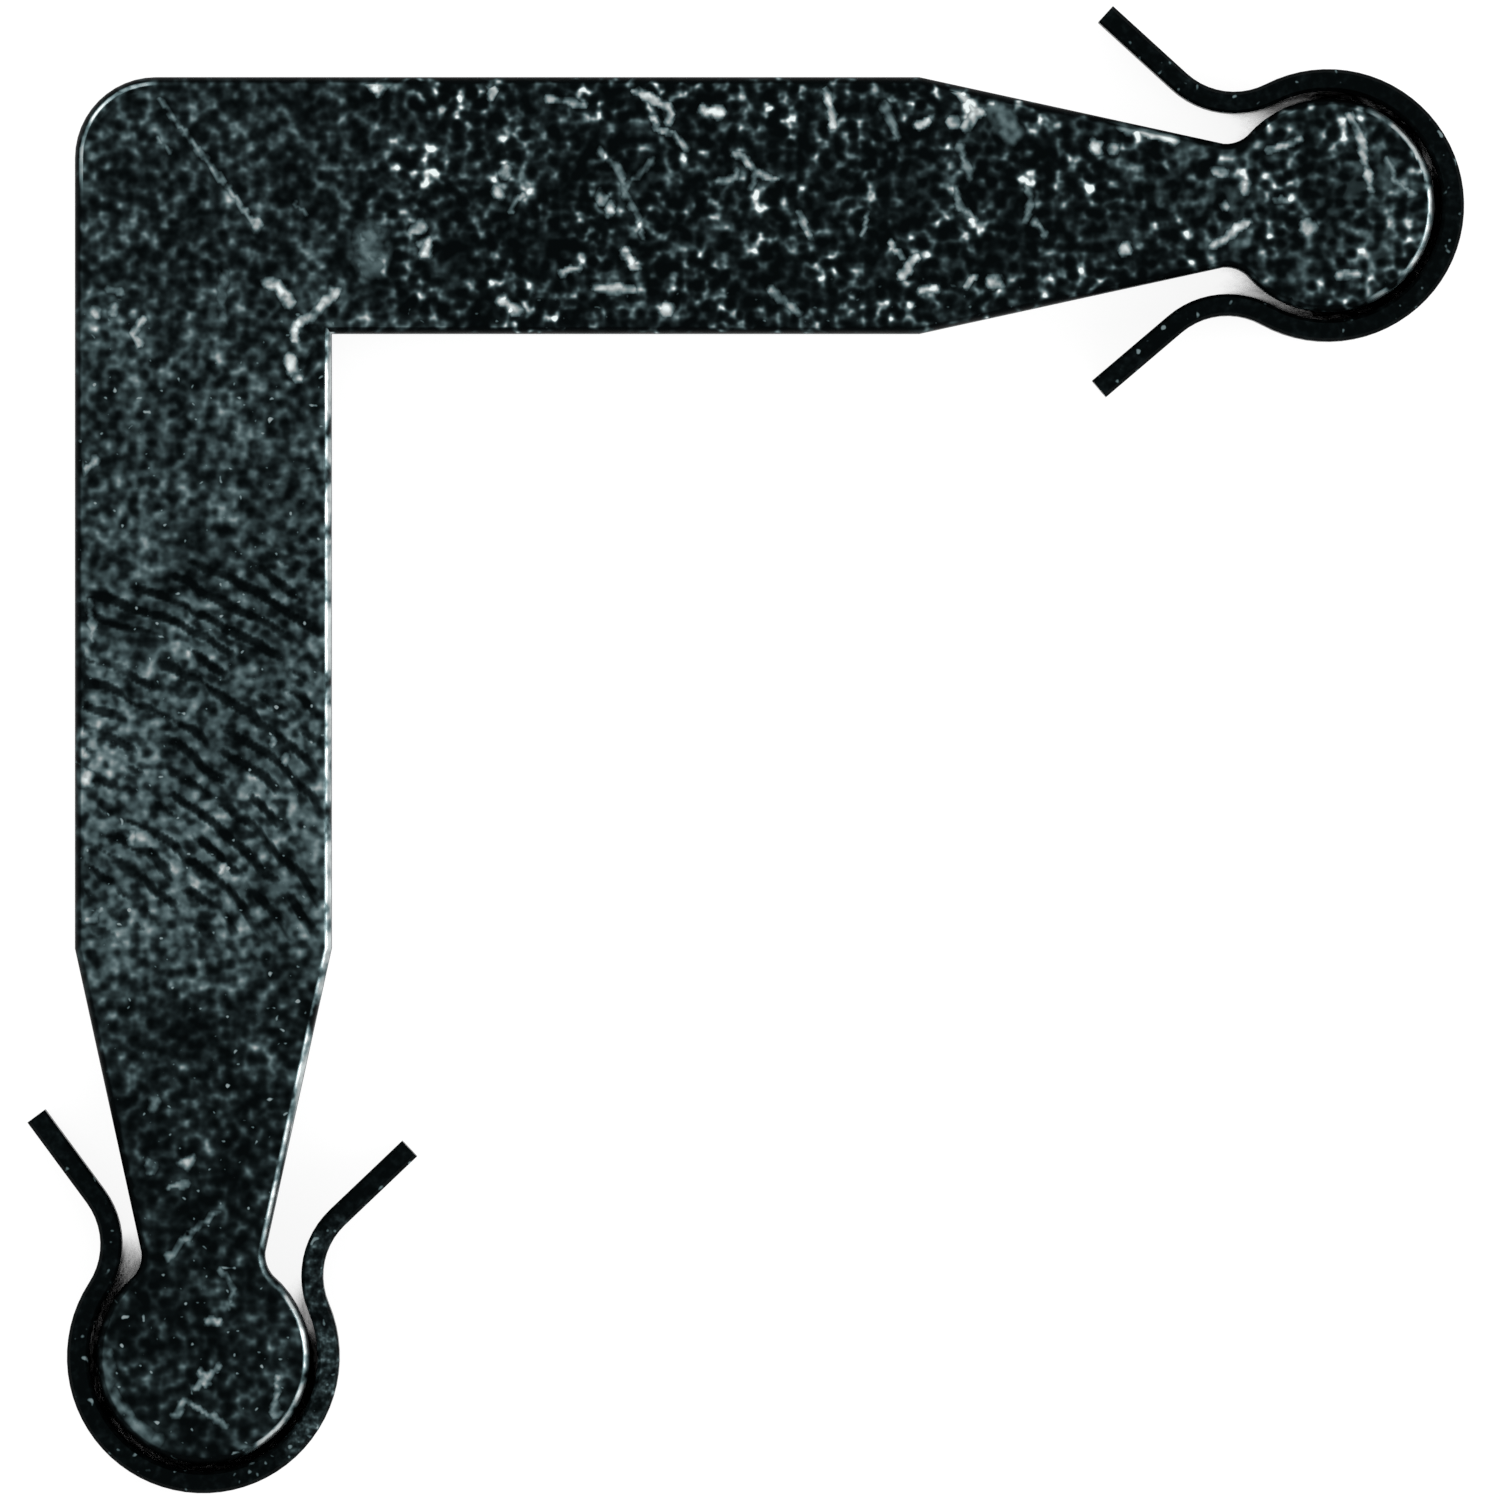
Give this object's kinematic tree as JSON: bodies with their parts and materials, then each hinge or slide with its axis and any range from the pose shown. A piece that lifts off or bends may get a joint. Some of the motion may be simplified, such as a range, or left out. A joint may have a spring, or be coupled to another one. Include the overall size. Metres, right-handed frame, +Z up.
{
  "type": "screen frame corner key",
  "caption": "Flat L-shaped steel corner key for a hollow screen frame, with a round head at the end of each arm and an omega-shaped spring clip turning on each head.",
  "frame": {"origin": "where the centre lines of the two arms cross, on the underside of the plate", "axes": "+X along the right arm, -Y along the lower arm, +Z up through the plate"},
  "size_m": [0.0532, 0.0551, 0.0032],
  "materials": {
    "plate_steel": "dark, mottled and scuffed",
    "spring_steel": "blackened"
  },
  "bodies": {
    "key": {"corner_key": "plate_steel"},
    "right_clip": {"right_spring_clip": "spring_steel"},
    "lower_clip": {"lower_spring_clip": "spring_steel"}
  },
  "joints": [
    {"name": "right_clip_swivel", "type": "hinge", "parent": "key", "child": "right_clip", "pos_m": [0.0417, 0, 0.0015], "axis": [0, 0, 1], "range_deg": [-8.5, 10.5]},
    {"name": "lower_clip_swivel", "type": "hinge", "parent": "key", "child": "lower_clip", "pos_m": [0, -0.0427, 0.0015], "axis": [0, 0, 1], "range_deg": [-4.5, 14.5]}
  ]
}
